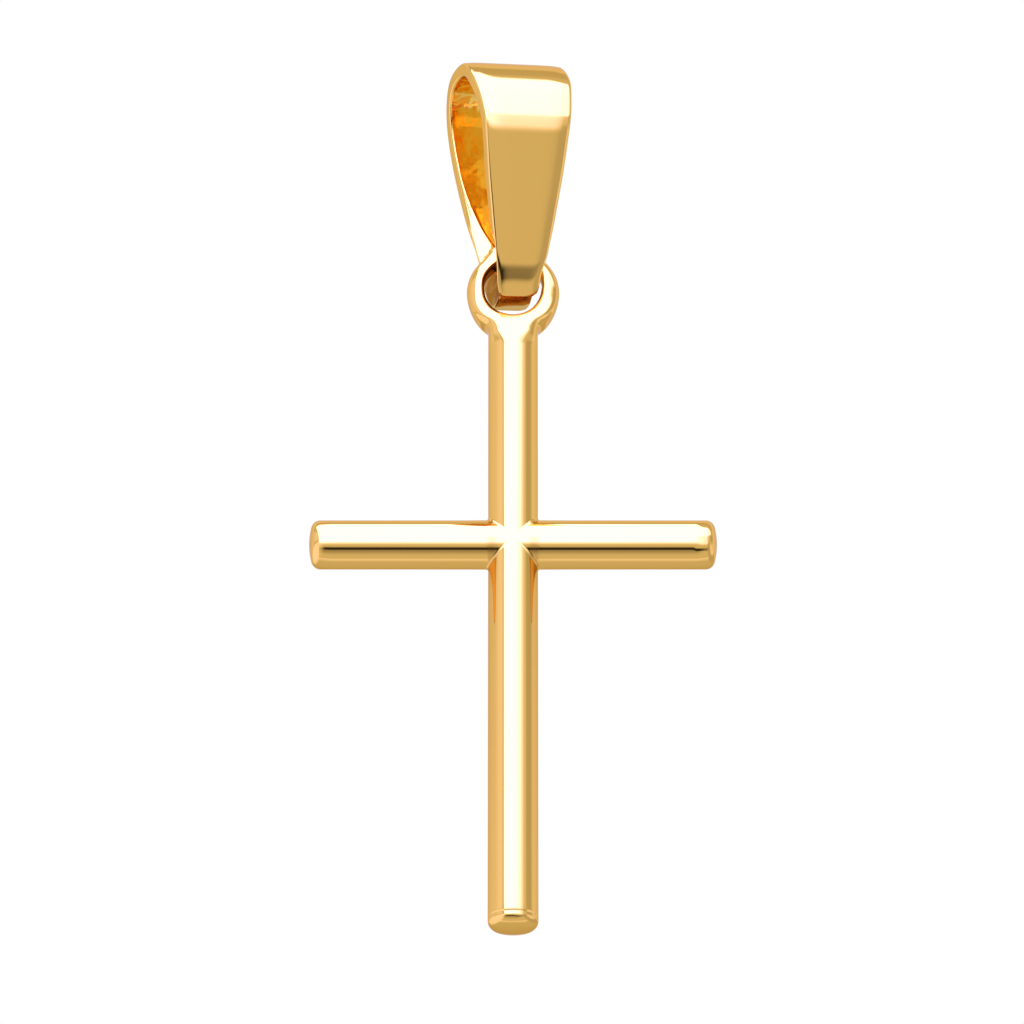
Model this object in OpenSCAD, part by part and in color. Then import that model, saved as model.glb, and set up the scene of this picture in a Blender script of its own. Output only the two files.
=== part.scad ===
/* [Bars] */
// Diameter of the upright bar
bar_d = 1.84; // [1.5:0.02:2.4]
// Diameter of the two arms
arm_d = 1.81; // [1.4:0.02:2.4]
// Width over both arms
arm_span = 15; // [11:0.5:20]
// Depth of the arms' axis below the middle of the eye
arm_drop = 10; // [7:0.1:13]
// Depth of the foot's tip below the middle of the eye
foot_drop = 24.95; // [19:0.05:32]
// Radius of the knuckle between a bar's side and its domed end
knuckle_r = 0.35; // [0.2:0.05:0.5]
// Radius of the shallow dome on the end of a bar
dome_r = 2.6; // [1.6:0.1:5]

/* [Eye] */
// Outside diameter of the eye
eye_d = 3.44; // [3:0.02:4.2]
// Diameter of the hole in the eye
eye_hole_d = 2.17; // [2:0.01:2.4]
// Extra height of the hole, which is a little taller than wide
eye_hole_rise = 0.15; // [0:0.05:0.3]
// Depth of the eye's rounded rim, front to back
eye_depth = 0.9; // [0.7:0.02:1.1]
// Depth of the eye's shoulder where it meets the bar, front to back
shoulder_depth = 1.7; // [1.2:0.02:1.8]

/* [Bail] */
// Height of the bail, from its foot to its crown
bail_h = 9.2; // [7.6:0.1:12]
// Depth of the bail's loop, front to back
bail_depth = 4.96; // [4.8:0.02:6.4]
// Width of the band over the crown
bail_w = 3.84; // [3:0.02:4]
// Thickness of the band
band_t = 0.52; // [0.4:0.02:0.6]
// Thickness of the solid foot below the trough that carries the eye
foot_t = 1.42; // [1.1:0.02:1.7]
// Width of the eased edges of the band
ease = 0.14; // [0.04:0.02:0.16]
// Slant of the band's sides at its foot, which are narrower towards the inner face
side_slant = 0.5; // [0:0.02:0.6]

/* [Hang] */
// Turn of the bail about its own upright axis
bail_turn = 19; // [0:1:20]
// Lean of the bail towards the front
bail_lean = 17; // [0:1:20]
// Sideways shift of the eye from the middle of the bail
eye_shift = 0.18; // [0:0.02:0.2]
// Gap between the eye and the trough it hangs in
hang_gap = 0.06; // [0.04:0.01:0.14]

/* [Hidden] */
gold = "#dba94c";
round_fn = 64;
arc_steps = 8;

bar_r = bar_d / 2;
arm_r = arm_d / 2;
eye_r = eye_d / 2;
eye_hole_r = eye_hole_d / 2;
// Height of the middle of the eye's top arc above the middle of the eye
arc_h = (eye_r + eye_hole_r + eye_hole_rise) / 2;

// Rows go round the bail's outline in side view, from the crown down the back and up the front.
// Columns: depth as a share of bail_depth, height as a share of bail_h,
// half width as a share of half of bail_w, wall as a share of band_t,
// or a wall of 0 and the angle round the trough, from straight back through straight down.
BAND = [
    [-0.087, 1.000, 1.000, 1.00, 0],
    [ 0.176, 0.973, 1.000, 1.00, 0],
    [ 0.335, 0.903, 0.972, 1.00, 0],
    [ 0.450, 0.790, 0.893, 1.00, 0],
    [ 0.432, 0.650, 0.830, 1.00, 0],
    [ 0.359, 0.500, 0.744, 1.00, 0],
    [ 0.290, 0.360, 0.629, 0.95, 0],
    [ 0.248, 0.241, 0.475, 0.75, 0],
    [ 0.228, 0.142, 0.375, 0.00, 15],
    [ 0.148, 0.048, 0.335, 0.00, 55],
    [ 0.020, 0.000, 0.335, 0.00, 90],
    [-0.100, 0.012, 0.350, 0.00, 115],
    [-0.175, 0.049, 0.350, 0.00, 135],
    [-0.249, 0.098, 0.435, 0.00, 160],
    [-0.309, 0.185, 0.531, 0.65, 0],
    [-0.341, 0.280, 0.595, 0.74, 0],
    [-0.377, 0.406, 0.678, 0.88, 0],
    [-0.410, 0.527, 0.759, 1.00, 0],
    [-0.444, 0.659, 0.828, 1.00, 0],
    [-0.459, 0.765, 0.884, 1.00, 0],
    [-0.398, 0.862, 0.944, 1.00, 0],
    [-0.302, 0.941, 1.000, 1.00, 0]
];
ROWS = len(BAND);
FOOT_ROW = 10;
BAND_DIVISIONS = 3;
CORNERS = 8;

// Share of the crown's width that the band keeps where the eye hangs
neck_share = 0.5;
crown_depth = BAND[0][0] * bail_depth;
seat_h = bail_h - band_t;
// Half width of the band's inner face, which is level with the outer one at the crown only
function half_in(half) = half - side_slant * (1 - 2 * half / bail_w);
// Drop of the eye's arc from its middle to the sides of the bail's foot
foot_half = half_in(BAND[FOOT_ROW][2] * bail_w / 2);
eye_sag = eye_hole_r - sqrt(pow(eye_hole_r, 2) - pow(foot_half, 2));
// The trough clears the eye's arc over its whole swing, also where the bail is turned
trough_drop = eye_depth / 2 + eye_sag + hang_gap;
trough_half = eye_depth / 2 / cos(bail_turn) + neck_share * bail_w / 2 * tan(bail_turn) + hang_gap;
link_h = foot_t + trough_drop;

// Oval curves with flattened sides: an exponent below 1 makes them squarer
trough_power = 0.6;
rim_power = 0.8;
function squared(v, power) = sign(v) * pow(abs(v), power);

// Side view of the band: outer point, inward direction and inner point of each row
function unit(v) = v / norm(v);
function outer(i) = [BAND[(i + ROWS) % ROWS][0] * bail_depth, BAND[(i + ROWS) % ROWS][1] * bail_h];
function inward(i) = let (step = outer(i + 1) - outer(i - 1)) unit([step[1], -step[0]]);
function trough(a) = [trough_half * squared(cos(a), trough_power),
    link_h - trough_drop * squared(sin(a), trough_power)];
function inner(i) =
    BAND[i][3] > 0 ? outer(i) + inward(i) * BAND[i][3] * band_t : trough(BAND[i][4]);
SIDES = [for (i = [0 : ROWS - 1]) [each outer(i), each inner(i), BAND[i][2] * bail_w / 2]];

// A smooth curve through the rows, by cubic blending of four neighbours
function blend(a, b, c, d, t) =
    0.5 * (2 * b + (c - a) * t + (2 * a - 5 * b + 4 * c - d) * t * t
    + (3 * b - a - 3 * c + d) * t * t * t);
function side(i) = SIDES[(i + ROWS) % ROWS];
STATIONS = [
    for (i = [0 : ROWS - 1], k = [0 : BAND_DIVISIONS - 1])
        blend(side(i - 1), side(i), side(i + 1), side(i + 2), k / BAND_DIVISIONS)
];
COUNT = len(STATIONS);

// Eight corners of the band's section at one station, across its width
function section(i) =
    let (
        half = STATIONS[i][4],
        half_i = half_in(half),
        out = [STATIONS[i][0], STATIONS[i][1]],
        in = [STATIONS[i][2], STATIONS[i][3]],
        dir = unit(in - out),
        out_eased = out + dir * ease,
        in_eased = in - dir * ease
    )
    [
        [-half + ease, out[0], out[1]],
        [half - ease, out[0], out[1]],
        [half, out_eased[0], out_eased[1]],
        [half_i, in_eased[0], in_eased[1]],
        [half_i - ease, in[0], in[1]],
        [-half_i + ease, in[0], in[1]],
        [-half_i, in_eased[0], in_eased[1]],
        [-half, out_eased[0], out_eased[1]]
    ];

module band() {
    points = [for (i = [0 : COUNT - 1]) each section(i)];
    faces = [
        for (i = [0 : COUNT - 1], k = [0 : CORNERS - 1])
            let (
                a = i * CORNERS + k,
                b = i * CORNERS + (k + 1) % CORNERS,
                c = (i + 1) % COUNT * CORNERS + (k + 1) % CORNERS,
                d = (i + 1) % COUNT * CORNERS + k
            )
            each [[a, b, c], [a, c, d]]
    ];
    polyhedron(points, faces);
}

// Turns and leans the bail about the chain's seat, which is the origin
module in_bail_frame() {
    rotate([bail_lean, 0, 0]) rotate([0, 0, bail_turn]) children();
}

module bail() {
    color(gold) in_bail_frame() translate([0, -crown_depth, -seat_h]) band();
}

// The hinge point in the frame of the whole pendant
function leaned(p) = [p[0], p[1] * cos(bail_lean) - p[2] * sin(bail_lean),
    p[1] * sin(bail_lean) + p[2] * cos(bail_lean)];
function turned(p) = [p[0] * cos(bail_turn) - p[1] * sin(bail_turn),
    p[0] * sin(bail_turn) + p[1] * cos(bail_turn), p[2]];
LINK = leaned(turned([0, -crown_depth, link_h - seat_h]));

// Half outline of a round bar that stands on z = 0 and has a domed end at its top
function domed_outline(r, h) =
    let (
        rise = sqrt(pow(dome_r - knuckle_r, 2) - pow(r - knuckle_r, 2)),
        knuckle_z = h - dome_r + rise,
        end_angle = atan2(rise, r - knuckle_r)
    )
    [
        [0, 0],
        [r, 0],
        for (k = [0 : arc_steps])
            [r - knuckle_r + knuckle_r * cos(end_angle * k / arc_steps),
            knuckle_z + knuckle_r * sin(end_angle * k / arc_steps)],
        for (k = [1 : arc_steps - 1])
            let (a = end_angle + (90 - end_angle) * k / arc_steps)
            [dome_r * cos(a), h - dome_r + dome_r * sin(a)],
        [0, h]
    ];

module domed_bar(r, h) {
    rotate_extrude($fn = round_fn) polygon(domed_outline(r, h));
}

// The eye's rim: an oval section carried round the hole's axis
module eye_rim() {
    arc_r = (eye_r + eye_hole_r) / 2;
    rim_r = (eye_r - eye_hole_r) / 2;
    outline = [
        for (k = [0 : 4 * arc_steps - 1])
            let (a = 90 * k / arc_steps)
            [arc_r + rim_r * squared(cos(a), rim_power), eye_depth / 2 * squared(sin(a), rim_power)]
    ];
    rotate([90, 0, 0]) rotate_extrude($fn = round_fn) polygon(outline);
}

// The shoulder widens the lower half of the eye to the bar behind and in front.
// Its top and its full depth lie at shares of the eye's radius above and below the eye's middle.
shoulder_top_share = 0.2;
shoulder_full_share = 0.9;
module eye_shoulder() {
    top = shoulder_top_share * eye_r;
    full = shoulder_full_share * eye_r;
    side = [
        [-eye_depth / 4, top],
        [eye_depth / 4, top],
        [shoulder_depth / 2, -full],
        [shoulder_depth / 2, -eye_r],
        [-shoulder_depth / 2, -eye_r],
        [-shoulder_depth / 2, -full]
    ];
    intersection() {
        rotate([90, 0, 90]) linear_extrude(height = eye_d * 2, center = true) polygon(side);
        rotate([90, 0, 0]) cylinder(h = shoulder_depth * 2, r = eye_r, center = true, $fn = round_fn);
    }
}

module eye_hole() {
    for (z = [0, eye_hole_rise])
        translate([0, 0, z]) rotate([90, 0, 0])
            cylinder(h = eye_d * 2, r = eye_hole_r, center = true, $fn = round_fn);
}

module cross() {
    color(gold) translate(LINK + [eye_shift, 0, -arc_h]) difference() {
        union() {
            eye_rim();
            eye_shoulder();
            mirror([0, 0, 1]) translate([0, 0, eye_hole_r]) domed_bar(bar_r, foot_drop - eye_hole_r);
            for (side = [-90, 90])
                translate([0, 0, -arm_drop]) rotate([0, side, 0]) domed_bar(arm_r, arm_span / 2);
        }
        eye_hole();
    }
}

bail();
cross();
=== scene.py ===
import logging
import math
from dataclasses import dataclass, field
from enum import Enum, IntEnum
from functools import reduce
from typing import Callable

import bpy
import numpy as np
from numpy.typing import NDArray
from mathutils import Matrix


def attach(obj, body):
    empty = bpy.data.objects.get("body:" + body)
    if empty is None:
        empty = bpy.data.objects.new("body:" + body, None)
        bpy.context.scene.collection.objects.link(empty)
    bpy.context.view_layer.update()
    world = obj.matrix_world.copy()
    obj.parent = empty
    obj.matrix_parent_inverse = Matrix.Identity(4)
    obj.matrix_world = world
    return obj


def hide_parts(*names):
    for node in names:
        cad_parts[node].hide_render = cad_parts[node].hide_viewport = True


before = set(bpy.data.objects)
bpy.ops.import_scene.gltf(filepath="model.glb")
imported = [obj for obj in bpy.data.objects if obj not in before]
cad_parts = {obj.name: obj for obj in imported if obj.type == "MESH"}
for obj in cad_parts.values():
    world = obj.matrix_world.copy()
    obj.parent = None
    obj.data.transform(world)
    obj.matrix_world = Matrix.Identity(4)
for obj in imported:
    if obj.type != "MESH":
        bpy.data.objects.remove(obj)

Array = NDArray[np.float64]
Index = NDArray[np.int64]
Pair = tuple[float, float]
Span = tuple[float, float, float, float]
Colour = tuple[float, float, float, float]
Socket = bpy.types.NodeSocket

MM = 0.001
MICRON = 1e-6
# Guards divisions by zero
TINY = 1e-6
# The power that makes a section round
ROUND = 2.0
log = logging.getLogger("cross_pendant")


class Slot(Enum):
    """The record's material slots."""

    BAIL = "bail_gold"
    CROSS = "cross_gold"


class Mask(Enum):
    """The attributes that say where a finish or a painted shade lies."""

    INNER_FACE = "inner_face"
    SATIN = "satin"
    PAINTED_SHADE_MASK = "recess"


class Axis(IntEnum):
    """The row's axes."""

    X = 0
    Y = 1
    Z = 2


# Whole-array helpers


def smooth_min(a: Array, b: Array, width: Array | float) -> Array:
    """Blends two distance fields: their lesser one, rounded by a parabola where they are near.

    Args:
        a: First field in millimetres.
        b: Second field in millimetres.
        width: Difference of the fields below which they blend.

    Returns:
        The blended field.
    """
    share = np.clip(0.5 + 0.5 * (b - a) / width, 0.0, 1.0)
    return b + (a - b) * share - width * share * (1.0 - share)


def smooth_max(a: Array, b: Array, width: Array | float) -> Array:
    """The greater of two fields, rounded where they are near."""
    return -smooth_min(-a, -b, width)


def ease(x: Array, low: float, high: float) -> Array:
    """The smooth step 3t^2 - 2t^3 from 0 at low to 1 at high."""
    t = np.clip((x - low) / (high - low), 0.0, 1.0)
    return t * t * (3.0 - 2.0 * t)


def window(x: Array, span: Span) -> Array:
    """Rises from 0 to 1 over the span's first two values and falls again over its last two."""
    return ease(x, span[0], span[1]) * (1 - ease(x, span[2], span[3]))


def signed_power(x: Array, power: float) -> Array:
    """A power of the size that keeps the sign."""
    return np.sign(x) * np.abs(x) ** power


def rounded(x: Array, y: Array, power: Array) -> Array:
    """The n-th root of |x|^n + |y|^n: a circle for n = 2 and nearer to a square above it."""
    return (np.abs(x) ** power + np.abs(y) ** power) ** (1 / power)


def unit(v: Array) -> Array:
    """Vectors along the last axis, each divided by its length."""
    return v / np.maximum(np.linalg.norm(v, axis=-1, keepdims=True), TINY**2)


def turn(points: Array, axis: Axis, degrees: float) -> Array:
    """Turns points about one of the row's axes.

    Args:
        points: Positions, the coordinates along the last axis.
        axis: The axis.
        degrees: The angle by the right-hand rule.

    Returns:
        The turned positions.
    """
    a, b = (axis + 1) % 3, (axis + 2) % 3
    cosine, sine = math.cos(math.radians(degrees)), math.sin(math.radians(degrees))
    out = points.copy()
    out[..., a] = points[..., a] * cosine - points[..., b] * sine
    out[..., b] = points[..., a] * sine + points[..., b] * cosine
    return out


@dataclass
class Shell:
    """Collects the grids of points and the faces of one closed body, in millimetres."""

    points: list[Array] = field(default_factory=list)
    faces: list[Index] = field(default_factory=list)
    count: int = 0

    def add(self, grid: Array) -> Index:
        """Stores a grid of points.

        Args:
            grid: Points, the coordinates along the last axis.

        Returns:
            Their numbers in the same grid.
        """
        flat = grid.reshape(-1, 3)
        numbers = np.arange(self.count, self.count + len(flat)).reshape(grid.shape[:-1])
        self.points.append(flat)
        self.count += len(flat)
        return numbers

    def quads(self, grid: Index, closed_rows: bool = False, keep: NDArray[np.bool_] | None = None) -> None:
        """Adds the quads between neighbours in a grid of point numbers that closes round its columns.

        Args:
            grid: Point numbers, rows by columns.
            closed_rows: Whether the last row meets the first.
            keep: Which of the quads are kept, in the grid's shape.
        """
        rows = np.vstack([grid, grid[:1]]) if closed_rows else grid
        wide = np.hstack([rows, rows[:, :1]])
        cells = np.stack([wide[:-1, :-1], wide[:-1, 1:], wide[1:, 1:], wide[1:, :-1]], axis=-1)
        self.faces.append(cells[keep] if keep is not None else cells.reshape(-1, 4))

    def cap(self, ring: Index, pole: Array) -> None:
        """Closes a ring of points with triangles to a pole, written as quads with the pole twice."""
        tip = np.full_like(ring, self.add(pole[None])[0])
        self.faces.append(np.stack([ring, np.roll(ring, -1), tip, tip], axis=-1))

    def make(
        self,
        name: str,
        outward: Callable[[Array], Array],
        place: Callable[[Array], Array],
        masks: dict[Mask, Array],
        normals: Callable[[Array, Array], Array],
    ) -> bpy.types.Object:
        """Makes the mesh object, with every face turned outward and unused points left out.

        A face's direction is the cross product of its diagonals, which holds for a triangle
        with its pole twice too.

        Args:
            name: Name of the piece.
            outward: Gives the outward direction at each face's middle.
            place: Moves points from the piece's own frame to the row's, in millimetres.
            masks: Values from 0 to 1 for each point, stored as attributes.
            normals: Gives the final normals from the points and the averaged normals.

        Returns:
            The object, at the origin and untransformed.
        """
        points, faces = np.vstack(self.points), np.vstack(self.faces)
        used, faces = np.unique(faces, return_inverse=True)
        points, faces = points[used], faces.reshape(-1, 4)
        corners = points[faces]
        direction = np.cross(corners[:, 2] - corners[:, 0], corners[:, 3] - corners[:, 1])
        wrong = np.einsum("ij,ij->i", direction, outward(corners.mean(axis=1))) < 0
        faces[wrong] = faces[wrong][:, [1, 0, 3, 2]]
        triangle = faces[:, 2] == faces[:, 3]
        mesh = bpy.data.meshes.new(name)
        polygons = faces[~triangle].tolist() + faces[triangle][:, :3].tolist()
        mesh.from_pydata((place(points) * MM).tolist(), [], polygons)
        for mask, values in masks.items():
            layer = mesh.attributes.new(mask.value, "FLOAT", "POINT")
            layer.data.foreach_set("value", values.reshape(-1)[used].astype(np.float32))
        mesh.validate()
        mesh.shade_smooth()
        mesh.update()
        averaged = np.empty(len(points) * 3, dtype=np.float32)
        mesh.vertices.foreach_get("normal", averaged)
        final = normals(points, averaged.reshape(-1, 3).astype(float))
        mesh.normals_split_custom_set_from_vertices(final.tolist())
        made = bpy.data.objects.new(name, mesh)
        bpy.context.scene.collection.objects.link(made)
        return made


# The bail


class Corner(IntEnum):
    """The corners of the band's section, each followed by a flat: outer, right, inner and left."""

    OUTER_LEFT = 0
    OUTER_RIGHT = 1
    INNER_RIGHT = 2
    INNER_LEFT = 3


@dataclass(frozen=True)
class Bail:
    """The folded band that the chain runs through, in millimetres.

    Its loop is given by rows: from the crown at row 0 down the back plate, under the foot from
    row 8 to 13, and up the front plate. Its own frame has the foot at z = 0 and the front at -Y.
    """

    eye_depth: float
    eye_hole_d: float
    height: float = 9.2
    depth: float = 4.96
    width: float = 3.84
    band_t: float = 0.52
    foot_t: float = 1.42
    turn_deg: float = 19.0
    lean_deg: float = 17.0

    # The trough that the eye hangs in: its gap, the share of the band's width by which the
    # turned eye needs a longer trough, and the power that squares its section
    hang_gap: float = 0.06
    trough_share: float = 0.25
    trough_power: float = 0.6

    # The corners' reaches, and the back plate's filed bevel: its two reaches and its row range
    outer_round: float = 0.2
    left_round: float = 0.12
    inner_round: float = 0.1
    foot_round: float = 0.1
    foot_rows: Span = (6.5, 8.0, 11.8, 13.2)
    bevel: Pair = (0.6, 0.32)
    bevel_rows: Span = (4.6, 7.4, 8.2, 9.0)

    # The sides: slanted inward at the bottom but less so at the front's left, a little wider at
    # the right but for the foot, flared at the foot's front and swelled at the foot's right
    side_slant: float = 0.5
    slant_heights: Pair = (1.9, 3.2)
    left_square: float = 0.15
    square_rows: Pair = (12.2, 13.0)
    right_spare: float = 0.06
    spare_rows: Span = (6.5, 8.0, 13.2, 14.4)
    foot_flare: Pair = (0.07, 0.15)
    flare_rows: Span = (11.8, 12.2, 12.3, 13.9)
    bulge: float = 0.02
    bulge_heights: Pair = (0.5, 1.9)

    # The outer face's crown: how far it rises, and the power that keeps it level in the middle
    crown: float = 0.035
    crown_power: float = 8.0

    # The grid: stations between two rows, rounds of averaging, the row whose edge stays crisp
    # with its reach in rows and its share of the averaging, and points on a corner and a flat
    divisions: int = 14
    smoothing: int = 24
    crisp_row: float = 12.0
    crisp_reach: Pair = (0.3, 1.4)
    crisp_share: float = 0.03
    arc_steps: int = 9
    flat_steps: int = 23

    # The finishes' row ranges, and the rows of the painted shade on the foot's left side
    polished_rows: Span = (5.4, 6.0, 11.5, 13.0)
    satin_rows: Span = (8.0, 8.6, 11.9, 12.05)
    painted_shade_rows: Span = (7.8, 8.8, 12.8, 13.4)

    # How far polishing has tipped the surface, in degrees: on the bevel, by row elsewhere, and
    # the share of it that the sharp left corner loses
    bevel_tip: float = 24.0
    corner_calm: float = 0.6
    polish: tuple[Pair, ...] = (
        (11.93, 0.0), (12.0, 15.0), (12.3, 13.0), (12.7, 8.0), (13.1, 7.5), (13.6, 8.5), (14.0, 7.5),
        (14.3, 3.5), (14.7, 0.0), (18.3, 0.0), (18.7, 3.5), (19.1, 10.5), (19.5, 4.0), (20.0, 0.0),
    )

    # Depth share, height share, width share, wall share (0 = trough) and trough angle
    rows: tuple[tuple[float, float, float, float, float], ...] = (
        (-0.087, 0.996, 1.000, 1.00, 0), (0.176, 0.969, 1.000, 1.00, 0), (0.335, 0.903, 0.972, 1.00, 0),
        (0.450, 0.790, 0.893, 1.00, 0), (0.432, 0.650, 0.830, 1.00, 0), (0.359, 0.500, 0.744, 1.00, 0),
        (0.290, 0.360, 0.629, 0.95, 0), (0.248, 0.241, 0.475, 0.75, 0), (0.228, 0.142, 0.375, 0.00, 15),
        (0.148, 0.048, 0.335, 0.00, 55), (0.020, 0.000, 0.335, 0.00, 90), (-0.108, 0.010, 0.350, 0.00, 115),
        (-0.192, 0.051, 0.350, 0.00, 135), (-0.244, 0.098, 0.430, 0.00, 160), (-0.309, 0.185, 0.531, 0.65, 0),
        (-0.341, 0.280, 0.595, 0.74, 0), (-0.377, 0.406, 0.678, 0.88, 0), (-0.410, 0.527, 0.759, 1.00, 0),
        (-0.444, 0.659, 0.828, 1.00, 0), (-0.459, 0.765, 0.884, 1.00, 0), (-0.398, 0.862, 0.944, 1.00, 0),
        (-0.302, 0.936, 1.000, 1.00, 0),
    )
    lowest_row: int = 10

    @property
    def foot_half(self) -> float:
        """Half width of the inner face at the foot."""
        share = self.rows[self.lowest_row][2]
        return share * self.width / 2 - self.side_slant * (1 - share)

    @property
    def trough_drop(self) -> float:
        """Depth of the trough's floor below the middle of the eye's top arc."""
        hole_r = self.eye_hole_d / 2
        sag = hole_r - math.sqrt(hole_r**2 - self.foot_half**2)
        return self.eye_depth / 2 + sag + self.hang_gap

    @property
    def trough_half(self) -> float:
        """Half length of the trough, front to back."""
        angle = math.radians(self.turn_deg)
        turned = self.trough_share * self.width * math.tan(angle)
        return self.eye_depth / 2 / math.cos(angle) + turned + self.hang_gap

    @property
    def link_h(self) -> float:
        """Height of the middle of the eye's top arc above the bail's foot."""
        return self.foot_t + self.trough_drop

    @property
    def row_numbers(self) -> Array:
        """The row number of every station round the loop."""
        return np.arange(len(self.rows) * self.divisions) / self.divisions

    def place(self, points: Array) -> Array:
        """Moves points from the bail's own frame to the row's."""
        seat = points + np.array([0.0, -self.rows[0][0] * self.depth, -(self.height - self.band_t)])
        return turn(turn(seat, Axis.Z, self.turn_deg), Axis.X, self.lean_deg)

    def link(self) -> Array:
        """The middle of the eye's top arc in the row's frame."""
        return self.place(np.array([[0.0, 0.0, self.link_h]]))[0]

    def stations(self) -> tuple[Array, Array, Array]:
        """Outer line, inner line and half widths round the loop.

        The table's rows are joined by cubic curves through four neighbours at a time, and then
        each value is averaged with its neighbours a few times, so that the curvature has no steps,
        but much less near the crisp edge at the bottom of the front.

        Returns:
            Outer points (depth, height), inner points, and half widths.
        """
        table = np.array(self.rows)
        outer = table[:, :2] * [self.depth, self.height]
        step = np.roll(outer, -1, axis=0) - np.roll(outer, 1, axis=0)
        inward = unit(np.stack([step[:, 1], -step[:, 0]], axis=1))
        angle = np.radians(table[:, 4])
        along = self.trough_half * signed_power(np.cos(angle), self.trough_power)
        high = self.link_h - self.trough_drop * signed_power(np.sin(angle), self.trough_power)
        walled = outer + inward * table[:, 3:4] * self.band_t
        inner = np.where(table[:, 3:4] > 0, walled, np.stack([along, high], axis=1))
        sides = np.hstack([outer, inner, table[:, 2:3] * self.width / 2])
        a, b, c, d = (np.roll(sides, k, axis=0)[:, None, :] for k in (1, 0, -1, -2))
        t = (np.arange(self.divisions) / self.divisions)[None, :, None]
        bends = (2 * a - 5 * b + 4 * c - d) * t**2 + (3 * b - a - 3 * c + d) * t**3
        curve = (0.5 * (2 * b + (c - a) * t + bends)).reshape(-1, sides.shape[1])
        off = np.abs(self.row_numbers - self.crisp_row)
        share = self.crisp_share + (1 - self.crisp_share) * ease(off, *self.crisp_reach)
        for _ in range(self.smoothing):
            middle = 0.5 * (np.roll(curve, 1, axis=0) + np.roll(curve, -1, axis=0))
            curve = curve + 0.5 * share[:, None] * (middle - curve)
        return curve[:, 0:2], curve[:, 2:4], curve[:, 4]

    def corner_sizes(self) -> tuple[Array, Array, Array]:
        """How far each corner's curve reaches along the side before it and the side after it.

        The outer corners are sharper at the foot. The back plate's left inner corner is filed
        to a wide bevel above the foot.

        Returns:
            The reaches before and after, and how straight the corner is cut, stations by corners.
        """
        row = self.row_numbers
        outer = self.outer_round + (self.foot_round - self.outer_round) * window(row, self.foot_rows)
        left = np.minimum(outer, self.left_round)
        inner, none = np.full_like(row, self.inner_round), np.zeros_like(row)
        filed = window(row, self.bevel_rows)
        before, after = (
            np.stack([left, outer, inner, inner + (reach - self.inner_round) * filed], axis=1)
            for reach in self.bevel
        )
        return before, after, np.stack([none, none, none, filed], axis=1)

    def corners(self) -> Array:
        """The section's four corners at every station, before they are rounded.

        Returns:
            The corners, stations by corners.
        """
        outer, inner, half = self.stations()
        row = self.row_numbers
        slant = self.side_slant * (1 - ease(outer[:, 1], *self.slant_heights)) * (1 - 2 * half / self.width)
        left_slant = slant * (1 - self.left_square * ease(row, *self.square_rows))
        spare = self.right_spare * (1 - window(row, self.spare_rows))
        flare_left, flare_right = (flare * window(row, self.flare_rows) for flare in self.foot_flare)
        left, right = -half - flare_left, half + spare + flare_right
        across = np.stack([left, right, half - slant, left_slant - half], axis=1)
        return np.concatenate([across[:, :, None], np.stack([outer, outer, inner, inner], axis=1)], axis=2)

    def section(self) -> Array:
        """The band's section at every station, with rounded corners and a slightly crowned outer face.

        At each corner the line leaves the side before it by r(1 - sin t) and joins the next side
        by r(1 - cos t), for t from 0 to a right angle, and a filed corner goes straight across.
        The flats between are straight lines. The outer one is raised by crown times 1 - |u|^8,
        and the right one at the foot by bulge times 1 - u^2, for u from -1 to 1 across the flat.

        Returns:
            The grid of points, stations by points round the section.
        """
        corners = self.corners()
        before = unit(np.roll(corners, 1, axis=1) - corners)
        after = unit(np.roll(corners, -1, axis=1) - corners)
        reach_before, reach_after, straight = (sizes[:, :, None, None] for sizes in self.corner_sizes())
        t = np.linspace(0, math.pi / 2, self.arc_steps)[:, None]
        even = 2 * t / math.pi
        leave = reach_before * ((1 - straight) * (1 - np.sin(t)) + straight * (1 - even))
        join = reach_after * ((1 - straight) * (1 - np.cos(t)) + straight * even)
        arcs = corners[:, :, None, :] + leave * before[:, :, None, :] + join * after[:, :, None, :]
        share = np.arange(1, self.flat_steps + 1) / (self.flat_steps + 1)
        start, end = arcs[:, :, -1:, :], np.roll(arcs, -1, axis=1)[:, :, :1, :]
        flats = start + (end - start) * share[None, None, :, None]
        u = 2 * share - 1
        out = corners[:, Corner.OUTER_LEFT] - corners[:, Corner.INNER_LEFT]
        out = unit(out + corners[:, Corner.OUTER_RIGHT] - corners[:, Corner.INNER_RIGHT])
        raised = self.crown * (1 - np.abs(u) ** self.crown_power)
        flats[:, Corner.OUTER_LEFT] += raised[None, :, None] * out[:, None, :]
        low = 1 - ease(corners[:, Corner.OUTER_LEFT, 2], *self.bulge_heights)
        flats[:, Corner.OUTER_RIGHT, :, 0] += np.outer(low, self.bulge * (1 - u**2))
        return np.concatenate([arcs, flats], axis=2).reshape(len(corners), -1, 3)

    def part(self, corner: Corner, first: int, last: int | None) -> Array:
        """Ones on some points from a corner's start on, and zeros on the rest of the section.

        Args:
            corner: The corner.
            first: The first point of ones, counted from the corner's first.
            last: The first point after them, or None up to the next corner.

        Returns:
            The values round the section.
        """
        ring = np.zeros((len(Corner), self.arc_steps + self.flat_steps))
        ring[corner, first:last] = 1.0
        return ring.reshape(-1)

    def masks(self) -> dict[Mask, Array]:
        """Where the cast inside, the satin foot and the painted shade on the foot's left side lie.

        Returns:
            Values from 0 to 1 for every point, by mask.
        """
        row, half = self.row_numbers, self.arc_steps // 2
        inside = self.part(Corner.INNER_RIGHT, half, None) + self.part(Corner.INNER_LEFT, 0, half)
        left = self.part(Corner.INNER_LEFT, half, None)
        return {
            Mask.INNER_FACE: np.outer(1 - window(row, self.polished_rows), inside),
            Mask.SATIN: np.outer(window(row, self.satin_rows), np.ones_like(inside)),
            # Painted shade: darkens the foot's left inner side
            Mask.PAINTED_SHADE_MASK: np.outer(window(row, self.painted_shade_rows), left),
        }

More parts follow.
